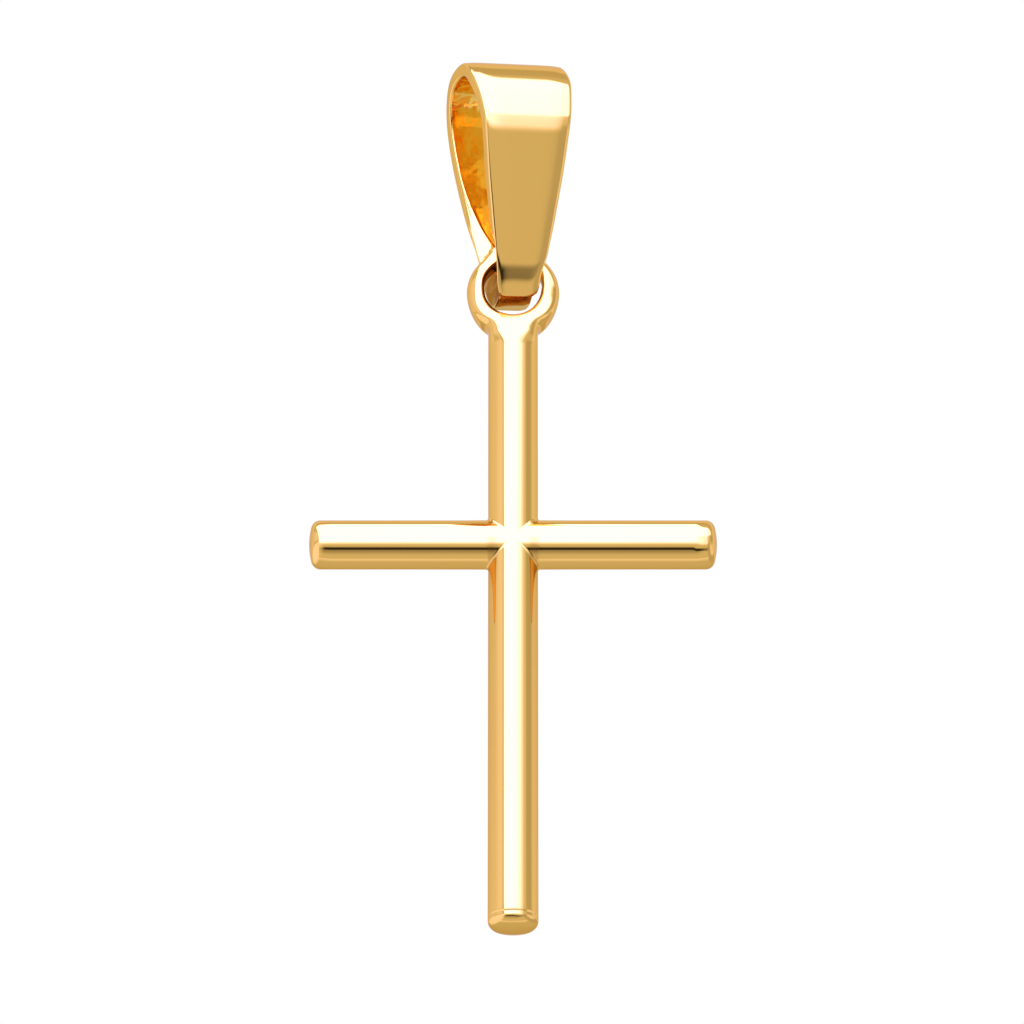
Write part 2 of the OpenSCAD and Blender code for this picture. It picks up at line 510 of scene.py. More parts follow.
    def tips(self) -> Array:
        """How far polishing has tipped the surface at each point, in degrees.

        Returns:
            The angles, stations by points round the section.
        """
        row = self.row_numbers
        crisp = self.part(Corner.OUTER_LEFT, 0, self.arc_steps)
        filed = self.part(Corner.INNER_LEFT, 0, self.arc_steps)
        by_row = np.interp(row, *np.array(self.polish).T)
        return np.outer(by_row, 1 - self.corner_calm * crisp) + np.outer(
            self.bevel_tip * window(row, self.bevel_rows), filed
        )

    def build(self) -> bpy.types.Object:
        """Makes the band's mesh.

        Returns:
            The object.
        """
        grid = self.section()
        shell = Shell()
        shell.quads(shell.add(grid), closed_rows=True)
        centres = grid.mean(axis=1)
        tip = -np.radians(self.tips().reshape(-1, 1))

        def outward(middle: Array) -> Array:
            """Away from the nearest station's middle."""
            gaps = np.linalg.norm(middle[:, None, 1:] - centres[None, :, 1:], axis=2)
            return middle - centres[gaps.argmin(axis=1)]

        def normals(points: Array, averaged: Array) -> Array:
            """Tips the averaged normals about the band's cross line, as polishing has left them.

            Args:
                points: The mesh's points, not needed here.
                averaged: Their averaged normals in the row's frame.

            Returns:
                The final normals.
            """
            own = turn(turn(averaged, Axis.X, -self.lean_deg), Axis.Z, -self.turn_deg)
            tipped = own * np.cos(tip) + np.cross([1.0, 0.0, 0.0], own) * np.sin(tip)
            tipped[:, 0] = own[:, 0]
            return turn(turn(unit(tipped), Axis.Z, self.turn_deg), Axis.X, self.lean_deg)

        return shell.make("bail_band", outward, self.place, self.masks(), normals)


# The cross


@dataclass(frozen=True)
class Cross:
    """The cross with its eye, in millimetres, about the middle of the eye's hole, front at -Y."""

    bar_d: float = 1.84
    arm_d: float = 1.81
    arm_span: float = 15.0
    arm_drop: float = 10.0
    foot_drop: float = 24.95
    knuckle_r: float = 0.35
    dome_r: float = 2.6

    # The crossing: how far from it the bars take one radius, and its fillet, least in front
    crossing_reach: float = 1.5
    fillet: float = 0.16
    least_fillet: float = 0.004

    # The eye: its hole is a circle carried up by a rise and down by a sag
    eye_d: float = 3.44
    eye_shift: float = 0.18
    hole_d: float = 2.17
    hole_rise: float = 0.15
    hole_sag: float = 0.06
    hole_round: float = 0.03
    rim_depth: float = 0.9

    # The eye's front below: half depth at the hole's middle, how much it widens for each
    # millimetre down, and the width of its blend with the rim's even depth above
    level_half: float = 0.21
    widening: float = 0.4
    front_round: float = 0.15

    # The ring's section: its crown from the hole's wall as a share of the width, the powers
    # added outside near the upright in front and behind, the powers inside below, above and
    # beside the hole, and the ring's half width, which makes its field a distance
    crown_share: float = 0.18
    outer_square: Pair = (1.0, 4.5)
    outer_heights: Pair = (-1.3, 0.0)
    inner_powers: Pair = (4.5, 3.0)
    inner_heights: Pair = (-0.6, 0.1)
    side_power: float = 2.1
    ring_half: float = 0.3

    # The inward bulge of the hole's wall: its least part, the part added at both sides, the
    # part moved from left to right, and the heights over which it fades
    throat_in: tuple[float, float, float] = (0.05, 0.07, 0.02)
    throat_heights: Pair = (-0.7, 0.5)

    # The upright's neck, flattened to the eye's depth: the power added to its round section
    neck_z: float = -2.9
    neck_square: float = 1.6
    neck_heights: Pair = (-2.3, -1.5)
    neck_round: float = 0.2
    neck_fillet: float = 0.14
    least_depth: float = 0.05

    # Painted shade: depth shares in the hole, its strength below the arms, shares of the bar's
    # radius where it starts and the bar's side ends, and distances from the arms
    hole_painted_shade: Pair = (0.35, 0.65)
    corner_painted_shade: float = 0.35
    corner_sides: Pair = (0.55, 0.8)
    corner_end: float = 1.02
    corner_gaps: Pair = (0.2, 1.8)

    # Distance from a bar's end, and how far polishing has bent the normals towards the end
    arm_polish: tuple[Pair, ...] = ((0.0, 0.0), (0.3, 0.15), (0.45, 0.31), (0.65, 0.2), (0.9, 0.0))
    foot_polish: tuple[Pair, ...] = (
        (0.0, 0.0), (0.3, 0.3), (0.42, 0.2), (0.5, 0.04), (0.57, 0.45), (0.64, 0.06), (0.85, 0.0),
    )

    # The eye's grid: columns round the hole, rows round the section, middle radius, the power
    # that gathers its lines near the section's corners, and the one that spreads the hole's rise
    ring_columns: int = 200
    ring_rows: int = 112
    ring_r: float = 1.4
    ring_power: float = 0.6
    rise_power: float = 1.5

    # The bars' grids: columns, rings on the neck, beside the crossing and on a bar's end, and
    # the distances that they cover
    columns: int = 160
    neck_rings: int = 40
    crossing_rings: int = 22
    crossing_near: float = 0.02
    crossing_far: float = 1.2
    arc_rings: int = 22
    straight_rings: int = 25
    straight_length: float = 0.6

    # Where the field's slope gives a face's outer side and a point's normal: distances from the
    # crossing, and a height near the eye. Beyond them a face looks away from its bar's line, and
    # by a share away from the crossing, and past a distance to the side the bar is an arm
    face_reach: float = 3.0
    face_low: float = -4.0
    normal_reach: float = 5.0
    end_share: float = 0.4
    arm_from: float = 1.5

    @property
    def meeting_r(self) -> float:
        """The radius that both bars have where they cross, so that their edges meet on planes."""
        return (self.bar_d + self.arm_d) / 4

    @property
    def around(self) -> tuple[Array, Array]:
        """Sine and cosine of each column's angle round a bar, from the front."""
        angle = np.arange(self.columns) / self.columns * 2 * math.pi
        return np.sin(angle), np.cos(angle)

    @property
    def cut(self) -> Array:
        """How far the crossing's edge is from its middle in each column, radius times |sine|."""
        return self.meeting_r * np.abs(self.around[0])

    @property
    def away(self) -> Array:
        """Distances from the crossing's edge, from the edge outward, closest together near it."""
        steps = np.geomspace(self.crossing_near, 1.0, self.crossing_rings) - self.crossing_near
        return steps[:, None] * self.crossing_far

    def place(self, link: Array) -> Callable[[Array], Array]:
        """The move from the eye's own frame to the row's, for a given hinge point.

        Args:
            link: The hinge point in the row's frame.

        Returns:
            A function that moves points.
        """
        arc_h = (self.eye_d / 2 + self.hole_d / 2 + self.hole_rise) / 2
        offset = link + np.array([self.eye_shift, 0.0, -arc_h])
        return lambda points: points + offset

    def front(self, z: Array) -> Array:
        """Half depth of the eye: even at the top, and a line that widens downward."""
        return smooth_max(self.rim_depth / 2 + 0 * z, self.level_half - self.widening * z, self.front_round)

    def bar_field(self, points: Array) -> Array:
        """Distance to the upright, whose round section is flattened and squarer near the eye.

        Args:
            points: Positions in the eye's own frame, one in each line.

        Returns:
            The distances, negative inside.
        """
        x, y, z = points.T
        near = np.exp(-(((z + self.arm_drop) / self.crossing_reach) ** 2))
        r = self.bar_d / 2 + (self.meeting_r - self.bar_d / 2) * near
        depth = np.maximum(smooth_min(r, self.front(z), self.neck_round), self.least_depth)
        power = ROUND + self.neck_square * ease(z, *self.neck_heights)
        return (rounded(x / r, y / depth, power) - 1) * np.minimum(r, depth)

    def arm_field(self, points: Array) -> Array:
        """Distance to the arms' round bar.

        Args:
            points: Positions in the eye's own frame, one in each line.

        Returns:
            The distances, negative inside.
        """
        x, y, z = points.T
        near = np.exp(-((x / self.crossing_reach) ** 2))
        r = self.arm_d / 2 + (self.meeting_r - self.arm_d / 2) * near
        return np.hypot(y, z + self.arm_drop) - r

    def hole_field(self, points: Array) -> Array:
        """Distance to the wall of the hole, a circle carried up along its rise and a little down.

        Args:
            points: Positions in the eye's own frame, one in each line.

        Returns:
            The distances, negative in the hole.
        """
        x, _, z = points.T
        off = np.maximum(z - self.hole_rise, 0.0) + np.minimum(z + self.hole_sag, 0.0)
        return np.hypot(x, off) - self.hole_d / 2

    def throat(self, points: Array) -> Array:
        """How far the hole's wall bulges inward at mid depth.

        It is a + t^2 (b + c t), with t the sine of the angle from below, and less above the
        hole's middle, where the bail swings past.

        Args:
            points: Positions in the eye's own frame, one in each line.

        Returns:
            The bulge.
        """
        x, _, z = points.T
        side = x / np.maximum(np.hypot(x, z), TINY)
        least, even, right = self.throat_in
        return (least + side**2 * (even + right * side)) * (1 - ease(z, *self.throat_heights))

    def ring_width(self, points: Array) -> Array:
        """The ring's width from the hole's wall to its outside."""
        x, _, z = points.T
        return np.maximum(self.hole_field(points) - (np.hypot(x, z) - self.eye_d / 2), TINY)

    def rim_field(self, points: Array) -> Array:
        """Distance to the eye's ring, whose section is a rounded square about its crown.

        The distance from the crown counts as a share of the width to the outside or to the
        throat, and the depth as a share of the half depth. The section is round at the sides,
        squarer outside near the upright, most of all behind, and squarer inside above and
        below the hole.

        Args:
            points: Positions in the eye's own frame, one in each line.

        Returns:
            The distances, negative inside.
        """
        x, y, z = points.T
        wall, thick = self.hole_field(points), self.ring_width(points)
        crown = self.crown_share * thick
        outside = wall > crown
        share = np.where(
            outside, (wall - crown) / (thick - crown), (crown - wall) / (crown + self.throat(points))
        )
        side = np.abs(x) / np.maximum(np.hypot(x, z), TINY)
        low = 1 - ease(z, *self.outer_heights)
        square = np.where(y < 0, *self.outer_square)
        below, above = self.inner_powers
        inside = below + (above - below) * ease(z, *self.inner_heights)
        power = np.where(outside, ROUND + square * low, inside + (self.side_power - inside) * side**2)
        return (rounded(share, y / self.front(z), power) - 1) * self.ring_half

    def painted_shade(self, points: Array) -> Array:
        """Mask of the painted shade: on the hole's wall, and on the upright below the arms.

        Args:
            points: Positions in the eye's own frame, one in each line.

        Returns:
            Values from 0 to 1.
        """
        x, _, z = points.T
        crown = self.crown_share * self.ring_width(points)
        hole = (crown - self.hole_field(points)) / (crown + self.throat(points))
        side = np.abs(x) / self.meeting_r
        beside = ease(side, *self.corner_sides) * (side < self.corner_end) * (z < -self.arm_drop)
        corner = self.corner_painted_shade * beside * (1 - ease(self.arm_field(points), *self.corner_gaps))
        return np.where(z > -self.eye_d, ease(hole, *self.hole_painted_shade), corner)

    def body_field(self, points: Array) -> Array:
        """The whole cross as one field: the ring and the bars with fillets, less the hole.

        The fillet between the bars fades where they are tangent, in front and behind.

        Args:
            points: Positions in the eye's own frame, one in each line.

        Returns:
            The distances, negative inside.
        """
        top = smooth_min(self.rim_field(points), self.bar_field(points), self.neck_fillet)
        top = smooth_max(top, -self.hole_field(points) - self.throat(points), self.hole_round)
        beside = np.clip(1 - (points[:, 1] / self.meeting_r) ** 2, 0, 1)
        return smooth_min(top, self.arm_field(points), self.least_fillet + self.fillet * beside)

    def slope(self, points: Array, reach: float = 1e-4) -> Array:
        """The field's slope, from its differences over a small reach along each axis.

        Args:
            points: Positions in the eye's own frame, one in each line.
            reach: The distance over which the differences are taken.

        Returns:
            The slopes, one in each line.
        """
        steps = np.eye(3) * reach
        rises = [self.body_field(points + step) - self.body_field(points - step) for step in steps]
        return np.stack(rises, axis=1) / (2 * reach)

    def settle(self, points: Array, rounds: int = 14, longest: float = 0.06) -> Array:
        """Moves points along the field's slope until they lie on the surface.

        Args:
            points: A grid of points near the surface.
            rounds: How many times each point is moved, by its field over its slope.
            longest: The longest move in one round.

        Returns:
            The grid on the surface.
        """
        moved = points.reshape(-1, 3).copy()
        for _ in range(rounds):
            slope = self.slope(moved)
            steep = np.maximum((slope**2).sum(axis=1, keepdims=True), TINY)
            move = self.body_field(moved)[:, None] * slope / steep
            size = np.linalg.norm(move, axis=1, keepdims=True)
            moved -= move * np.minimum(1.0, longest / np.maximum(size, TINY**2))
        return moved.reshape(points.shape)

    def end_profile(self, r: float, length: float) -> tuple[Array, Array]:
        """Radius and height along a bar's domed end: straight side, knuckle arc, dome arc.

        The knuckle is an arc about a point its own radius inside the bar's side, and the dome
        an arc about a point on the bar's line. They meet where they touch.

        Args:
            r: The bar's radius.
            length: Height of the dome's tip.

        Returns:
            Radii and heights of the rings, as columns, without the tip itself.
        """
        knuckle, dome = self.knuckle_r, self.dome_r
        rise = math.sqrt((dome - knuckle) ** 2 - (r - knuckle) ** 2)
        meet, start = math.atan2(rise, r - knuckle), length - dome + rise
        low = np.linspace(0, meet, self.arc_rings)
        high = np.linspace(meet, math.pi / 2, self.arc_rings)[1:-1]
        side = np.linspace(self.straight_length, 0.0, self.straight_rings)[:-1]
        radii = [np.full(len(side), r), r - knuckle + knuckle * np.cos(low), dome * np.cos(high)]
        heights = [start - side, start + knuckle * np.sin(low), length - dome + dome * np.sin(high)]
        return np.concatenate(radii)[:, None], np.concatenate(heights)[:, None]

    def on_upright(self, along: Array, radius: Array | float) -> Array:
        """Rings round the upright: x is radius times sine, y minus radius times cosine, z the height."""
        sine, cosine = self.around
        across, deep = radius * sine + 0 * along, -radius * cosine + 0 * along
        return np.stack([across, deep, along + 0 * sine], axis=-1)

    def on_arm(self, side: int, along: Array, radius: Array | float) -> Array:
        """Rings round an arm: the upright's, with its height turned to one side and x upward."""
        x, y, z = np.moveaxis(self.on_upright(along, radius), -1, 0)
        return np.stack([side * z, y, x - self.arm_drop], axis=-1)

    def ring(self, shell: Shell) -> Index:
        """Builds the eye's ring and leaves out the patch where the upright joins it.

        At angle a round the hole and b round the section, the point lies at the share
        q = q0 - (part)|cos b|^e sgn(cos b) of the way from hole to rim, and at the depth
        half |sin b|^e, both then settled on the surface. The power e below one gathers the
        lines near the section's corners, where the crease is.

        Args:
            shell: The body that the ring is added to.

        Returns:
            The point numbers round the open patch, from the front's middle towards +X.
        """
        a = (np.arange(self.ring_columns) / self.ring_columns * 2 * math.pi)[None, :]
        b = (np.arange(self.ring_rows) / self.ring_rows * 2 * math.pi)[:, None]
        wall = self.hole_d / 2 + self.hole_rise * np.clip(-np.cos(a), 0, 1) ** self.rise_power
        out = -signed_power(np.cos(b), self.ring_power)
        share = self.crown_share + np.where(out < 0, self.crown_share, 1 - self.crown_share) * out
        radius = wall + share * (self.eye_d / 2 - wall)
        y = -self.front(-np.cos(a) * self.ring_r) * signed_power(np.sin(b), self.ring_power)
        grid = np.stack([radius * np.sin(a), y, -radius * np.cos(a)], axis=-1)
        numbers = shell.add(self.settle(grid))

        # The patch has four sides of two spans, with as many points as a bar has columns
        span = self.columns // 8
        first = self.ring_rows // 2 - span
        last = first + 2 * span
        keep = np.ones(numbers.shape, dtype=bool)
        keep[first:last, :span] = False
        keep[first:last, -span:] = False
        shell.quads(numbers, closed_rows=True, keep=keep)
        across, along = np.arange(-span, span), np.arange(first, last)
        front, right = numbers[first, across], numbers[along, span]
        back, left = numbers[last, -across], numbers[along[::-1] + 1, -span]
        return np.roll(np.concatenate([front, right, back, left]), -span)

    def upright(self, shell: Shell, loop: Index) -> tuple[Index, Index]:
        """Builds the upright, from the eye's open patch past the crossing to its domed foot.

        Between the patch and a plain circle the points go straight from one to the other, then
        settle on the surface. The crossing's two edges meet in its front and back points.

        Args:
            shell: The body that the upright is added to.
            loop: Point numbers round the patch.

        Returns:
            The point numbers of the crossing's upper and lower edge.
        """
        middle = -self.arm_drop
        circle = self.on_upright(np.full(self.columns, self.neck_z), self.bar_d / 2)
        share = np.linspace(0, 1, self.neck_rings)[1:, None, None]
        neck = self.settle(np.vstack(shell.points)[loop] * (1 - share) + circle * share)
        neck[-1] = circle
        above = self.settle(self.on_upright(middle + self.cut + self.away[::-1], self.bar_d / 2))
        above_rows = np.vstack([loop[None], shell.add(neck), shell.add(above)])
        shell.quads(above_rows)
        upper = above_rows[-1]

        lower = shell.add(self.settle(self.on_upright(middle - self.cut, self.meeting_r)))
        half = self.columns // 2
        lower[0], lower[half] = upper[0], upper[half]
        below = self.settle(self.on_upright(middle - self.cut - self.away[1:], self.bar_d / 2))
        radii, heights = self.end_profile(self.bar_d / 2, self.foot_drop - self.arm_drop)
        foot = self.on_upright(middle - heights, radii)
        below_rows = np.vstack([lower[None], shell.add(below), shell.add(foot)])
        shell.quads(below_rows)
        shell.cap(below_rows[-1], np.array([0.0, 0.0, -self.foot_drop]))
        return upper, lower

    def arm(self, shell: Shell, side: int, upper: Index, lower: Index) -> None:
        """Builds one arm, from the crossing's edges to its domed end.

        Args:
            shell: The body that the arm is added to.
            side: 1 for the right arm and -1 for the left one.
            upper: Point numbers of the crossing's upper edge.
            lower: Point numbers of the crossing's lower edge.
        """
        same = np.arange(self.columns)
        mirrored = -same % self.columns
        high, low = (same, mirrored) if side == 1 else (mirrored, same)
        start = np.where(self.around[0] >= 0, upper[high], lower[low])
        near = self.settle(self.on_arm(side, self.cut + self.away[1:], self.arm_d / 2))
        radii, heights = self.end_profile(self.arm_d / 2, self.arm_span / 2)
        rows = np.vstack([start[None], shell.add(near), shell.add(self.on_arm(side, heights, radii))])
        shell.quads(rows)
        shell.cap(rows[-1], np.array([side * self.arm_span / 2, 0.0, -self.arm_drop]))

    def outward(self, middle: Array) -> Array:
        """The outward direction at the middles of faces, of any length.

        Args:
            middle: The middles in the eye's own frame, one in each line.

        Returns:
            The directions.
        """
        near = middle - np.array([0.0, 0.0, -self.arm_drop])
        on_arm = np.abs(middle[:, :1]) > self.arm_from
        from_line = near * np.where(on_arm, [[0.0, 1.0, 1.0]], [[1.0, 1.0, 0.0]])
        far = unit(from_line) + self.end_share * unit(near)
        by_slope = (np.abs(near).max(axis=1) < self.face_reach) | (middle[:, 2] > self.face_low)
        return np.where(by_slope[:, None], self.slope(middle), far)

    def normals(self, points: Array, averaged: Array) -> Array:
        """The field's slope near the eye and the crossing, and averaged normals bent at the ends.

        Args:
            points: The mesh's points.
            averaged: Their averaged normals.

        Returns:
            The final normals.
        """
        x, z = points[:, 0], points[:, 2]
        close = (np.abs(x) < self.normal_reach) & (z > -self.arm_drop - self.normal_reach)
        out = averaged.copy()
        out[close] = unit(self.slope(points[close]))
        out[:, 0] += np.sign(x) * np.interp(self.arm_span / 2 - np.abs(x), *np.array(self.arm_polish).T)
        out[:, 2] -= np.interp(z + self.foot_drop, *np.array(self.foot_polish).T)
        return unit(out)

    def build(self, link: Array) -> bpy.types.Object:
        """Makes the cross as one closed mesh of grids that share their border points.

        Each bar is a grid of an angle round it and a distance along it. The bars stop at the two
        upright planes where their edges cross and are settled on the joined surface there.

        Args:
            link: The hinge point in the row's frame.

        Returns:
            The object.
        """
        shell = Shell()
        upper, lower = self.upright(shell, self.ring(shell))
        for side in (1, -1):
            self.arm(shell, side, upper, lower)
        # The painted shade's mask: in the hole and on the upright below the arms
        masks = {Mask.PAINTED_SHADE_MASK: self.painted_shade(np.vstack(shell.points))}
        return shell.make("cross_body", self.outward, self.place(link), masks, self.normals)


# Node graphs

Value = Socket | float | Colour | tuple[float, float, float]


@dataclass(frozen=True)
class Graph:
    """A shader node tree, with short ways to add nodes and join them."""

    tree: bpy.types.NodeTree

    def feed(self, socket: Socket, value: Value) -> None:
        """Joins an input to another node's output, or sets its value.

        Args:
            socket: The input.
            value: An output, or a number, vector or colour.
        """
        if isinstance(value, Socket):
            self.tree.links.new(value, socket)
        else:
            socket.default_value = value

    def add(
        self, kind: str, inputs: dict[str | int, Value], **settings: str | bpy.types.NodeTree
    ) -> bpy.types.Node:
        """Adds a node.

        Args:
            kind: The node's type, without ShaderNode in front.
            inputs: What each input gets, by its name or number.
            settings: The node's own settings.

        Returns:
            The node.
        """
        node = self.tree.nodes.new("ShaderNode" + kind)
        for name, setting in settings.items():
            setattr(node, name, setting)
        for key, value in inputs.items():
            self.feed(node.inputs[key], value)
        return node

    def math(self, operation: str, *values: Value) -> Socket:
        """One Math node on sockets or numbers."""
        return self.add("Math", dict(enumerate(values)), operation=operation).outputs[0]

    def noise(self, vector: Socket, scale: Value, detail: float) -> Socket:
        """A noise texture from 0 to 1."""
        return self.add("TexNoise", {"Vector": vector, "Scale": scale, "Detail": detail}).outputs["Fac"]

    def mask(self, mask: Mask) -> Socket:
        """One of the piece's masks."""
        return self.add("Attribute", {}, attribute_name=mask.value).outputs["Fac"]

    def ramp(
        self, value: Socket, given: Pair, wanted: tuple[Value, Value] = (0.0, 1.0), kind: str = "LINEAR"
    ) -> Socket:
        """Carries a value from one range to another, and no further.

        Args:
            value: The value.
            given: The range that it is in.
            wanted: The range that it is carried to.
            kind: The interpolation.

        Returns:
            The carried value.
        """
        ends = dict(zip(("From Min", "From Max", "To Min", "To Max"), given + wanted))
        return self.add("MapRange", {"Value": value} | ends, interpolation_type=kind).outputs["Result"]

    def mix(self, share: Socket, plain: Value, other: Value, kind: str = "RGBA") -> Socket:
        """Goes from the plain value to the other one by a share.

        Args:
            share: 0 for the plain value and 1 for the other one.
            plain: A colour or a number.
            other: A colour or a number.
            kind: RGBA for colours and FLOAT for numbers.

        Returns:
            The mixed value.
        """
        node = self.add("Mix", {}, data_type=kind)
        inputs = [socket for socket in node.inputs if socket.enabled]
        for socket, value in zip(inputs, (share, plain, other)):
            self.feed(socket, value)
        return next(socket for socket in node.outputs if socket.enabled)

    def bump(self, height: Socket, microns: float, **below: Socket) -> Socket:
        """The normal of a surface with the given height, over the normal below it."""
        return self.add("Bump", {"Height": height, "Distance": microns * MICRON} | below).outputs["Normal"]


# Finishes

FLOAT, VECTOR, COLOUR = "NodeSocketFloat", "NodeSocketVector", "NodeSocketColor"


class Effect(Enum):
    """The shared effects, each a node group."""

    DRIFT = "tone_drift"
    SWELL = "hand_swell"
    HAIRLINES = "polishing_lines"
    PAINTED_SHADE = "crevice_grime"


@dataclass(frozen=True)
class Effects:
    """Builds the shared node groups once and hands out group nodes."""

    # Detail of the noises, the range that makes lines, and the painted shade's patches: how many to a
    # metre, their range, and how much of the mask they cover
    cloud_detail: float = 2.0
    swell_detail: float = 1.0
    line_detail: float = 3.0
    line_range: Pair = (0.3, 0.7)
    painted_shade_per_m: float = 2200.0
    painted_shade_range: Pair = (0.25, 0.55)
    painted_shade_cover: Pair = (0.7, 1.0)
    trees: dict[Effect, bpy.types.NodeTree] = field(default_factory=dict)

    def __post_init__(self) -> None:
        """Builds every group."""
        self.drift()
        self.swell()
        self.hairlines()
        self.painted_shade()

    def group(
        self, effect: Effect, inputs: dict[str, str], outputs: dict[str, str]
    ) -> tuple[Graph, bpy.types.NodeOutputs, bpy.types.NodeInputs]:
        """Makes a shader node group with named sockets, the first of them the coordinates.

        Args:
            effect: The effect that the group makes.
            inputs: Socket types by name.
            outputs: Socket types by name.

        Returns:
            The group's graph, what it is given and what it gives.
        """
        tree = bpy.data.node_groups.new(effect.value, "ShaderNodeTree")
        for name, kind in ({"Vector": VECTOR} | inputs).items():
            tree.interface.new_socket(name, in_out="INPUT", socket_type=kind)
        for name, kind in outputs.items():
            tree.interface.new_socket(name, in_out="OUTPUT", socket_type=kind)
        self.trees[effect] = tree
        given, gives = tree.nodes.new("NodeGroupInput"), tree.nodes.new("NodeGroupOutput")
        return Graph(tree), given.outputs, gives.inputs

    def drift(self) -> None:
        """A slow drift between two colours."""
        inputs = {"Scale": FLOAT, "First": COLOUR, "Second": COLOUR}
        graph, given, gives = self.group(Effect.DRIFT, inputs, {"Color": COLOUR})
        cloud = graph.noise(given["Vector"], given["Scale"], self.cloud_detail)
        graph.feed(gives["Color"], graph.mix(cloud, given["First"], given["Second"]))

    def swell(self) -> None:
        """The low swell that polishing by hand leaves, as a height from 0 to 1."""
        graph, given, gives = self.group(Effect.SWELL, {"Scale": FLOAT}, {"Height": FLOAT})
        graph.feed(gives["Height"], graph.noise(given["Vector"], given["Scale"], self.swell_detail))

    def hairlines(self) -> None:
        """Fine lines along the polishing direction, as a roughness between two values."""
        inputs = {"Stretch": VECTOR, "Least": FLOAT, "Most": FLOAT}
        graph, given, gives = self.group(Effect.HAIRLINES, inputs, {"Roughness": FLOAT})
        vectors = {0: given["Vector"], 1: given["Stretch"]}
        stretched = graph.add("VectorMath", vectors, operation="MULTIPLY").outputs["Vector"]
        lines = graph.noise(stretched, 1.0, self.line_detail)
        rough = graph.ramp(lines, self.line_range, (given["Least"], given["Most"]))
        graph.feed(gives["Roughness"], rough)

    def painted_shade(self) -> None:
        """Painted shade: a darker colour and a duller roughness where the mask is one, broken up by a cloud.
        """
        inputs = {"Mask": FLOAT, "Color": COLOUR, "Dark": COLOUR, "Roughness": FLOAT, "Dull": FLOAT}
        graph, given, gives = self.group(Effect.PAINTED_SHADE, inputs, {"Color": COLOUR, "Roughness": FLOAT})
        cloud = graph.noise(given["Vector"], self.painted_shade_per_m, self.cloud_detail)
        patchy = graph.ramp(cloud, self.painted_shade_range, self.painted_shade_cover)
        amount = graph.math("MULTIPLY", patchy, given["Mask"])
        graph.feed(gives["Color"], graph.mix(amount, given["Color"], given["Dark"]))
        graph.feed(gives["Roughness"], graph.mix(amount, given["Roughness"], given["Dull"], "FLOAT"))

    def use(self, graph: Graph, effect: Effect, place: Socket, **values: Value) -> bpy.types.Node:
        """Adds one of the groups to a material, on the given coordinates, and returns its node."""
        return graph.add("Group", {"Vector": place} | values, node_tree=self.trees[effect])


@dataclass(frozen=True)
class CastSkin:
    """The unpolished inside: a pitted casting skin, and the satin foot."""

    # The inside's colour is a lighter, more saturated gold than the polished one: painted light that
    # brightens the bail's shaded hollow
    colour: Colour = (1.0, 0.66, 0.14, 1.0)
    satin_colour: Colour = (0.96, 0.66, 0.24, 1.0)
    roughness: float = 0.13
    satin_roughness: float = 0.2
    grain_per_m: float = 620.0
    grain_detail: float = 3.0
    grain_um: float = 110.0

    def lay(
        self, graph: Graph, place: Socket, colour: Socket, rough: Socket, normal: Socket
    ) -> tuple[Socket, Socket, Socket]:
        """Lays the skin and the satin over a polished finish, where their masks say.

        Args:
            graph: The material's graph.
            place: The coordinates.
            colour: The finish's colour.
            rough: The finish's roughness.
            normal: The finish's normal.

        Returns:
            Colour, roughness and normal.
        """
        inside, foot = graph.mask(Mask.INNER_FACE), graph.mask(Mask.SATIN)
        colour = graph.mix(foot, graph.mix(inside, colour, self.colour), self.satin_colour)
        rough = graph.mix(inside, rough, self.roughness, "FLOAT")
        rough = graph.mix(foot, rough, self.satin_roughness, "FLOAT")
        grain = graph.math("MULTIPLY", graph.noise(place, self.grain_per_m, self.grain_detail), inside)
        return colour, rough, graph.bump(grain, self.grain_um, Normal=normal)


@dataclass(frozen=True)
class PolishedGold:
    """Hand-polished yellow gold: a mirror with a faint swell, fine polishing lines, a drift of tone, and
    painted shade where its mask lies.
    """

    name: str
    # How close the polishing lines lie along each axis, to a metre
    stretch: tuple[float, float, float]
    colour: Colour = (0.95, 0.585, 0.158, 1.0)
    warm: Colour = (0.95, 0.565, 0.148, 1.0)
    edge: Colour = (0.82, 0.66, 0.46, 1.0)
    # The painted shade's dark colour, and the duller roughness that goes with it
    painted_shade: Colour = (0.42, 0.18, 0.03, 1.0)
    painted_shade_roughness: float = 0.3
    drift_per_m: float = 160.0
    least_roughness: float = 0.03
    most_roughness: float = 0.065
    swell_per_m: float = 420.0
    swell_um: float = 3.0

    def material(self, effects: Effects, skin: CastSkin | None = None) -> bpy.types.Material:
        """Builds the node material.

        Args:
            effects: The shared groups.
            skin: The finish of the unpolished parts, where there are any.

        Returns:
            The material.
        """
        made = bpy.data.materials.new(self.name)
        made.use_nodes = True
        graph = Graph(made.node_tree)
        place = graph.add("TexCoord", {}).outputs["Object"]
        drift = effects.use(
            graph, Effect.DRIFT, place, Scale=self.drift_per_m, First=self.colour, Second=self.warm
        )
        lines = effects.use(
            graph, Effect.HAIRLINES, place,
            Stretch=self.stretch, Least=self.least_roughness, Most=self.most_roughness,
        )
        swell = effects.use(graph, Effect.SWELL, place, Scale=self.swell_per_m)
        colour, rough = drift.outputs["Color"], lines.outputs["Roughness"]
        normal = graph.bump(swell.outputs["Height"], self.swell_um)
        if skin:
            colour, rough, normal = skin.lay(graph, place, colour, rough, normal)
        # Painted shade laid over the colour where the mask says
        painted_shade = effects.use(
            graph, Effect.PAINTED_SHADE, place,
            Mask=graph.mask(Mask.PAINTED_SHADE_MASK), Color=colour, Dark=self.painted_shade, Roughness=rough,
            Dull=self.painted_shade_roughness,
        )
        shader = made.node_tree.nodes["Principled BSDF"].inputs
        shader["Metallic"].default_value = 1.0
        shader["Specular Tint"].default_value = self.edge
        graph.feed(shader["Base Color"], painted_shade.outputs["Color"])
        graph.feed(shader["Roughness"], painted_shade.outputs["Roughness"])
        graph.feed(shader["Normal"], normal)
        return made


# The studio


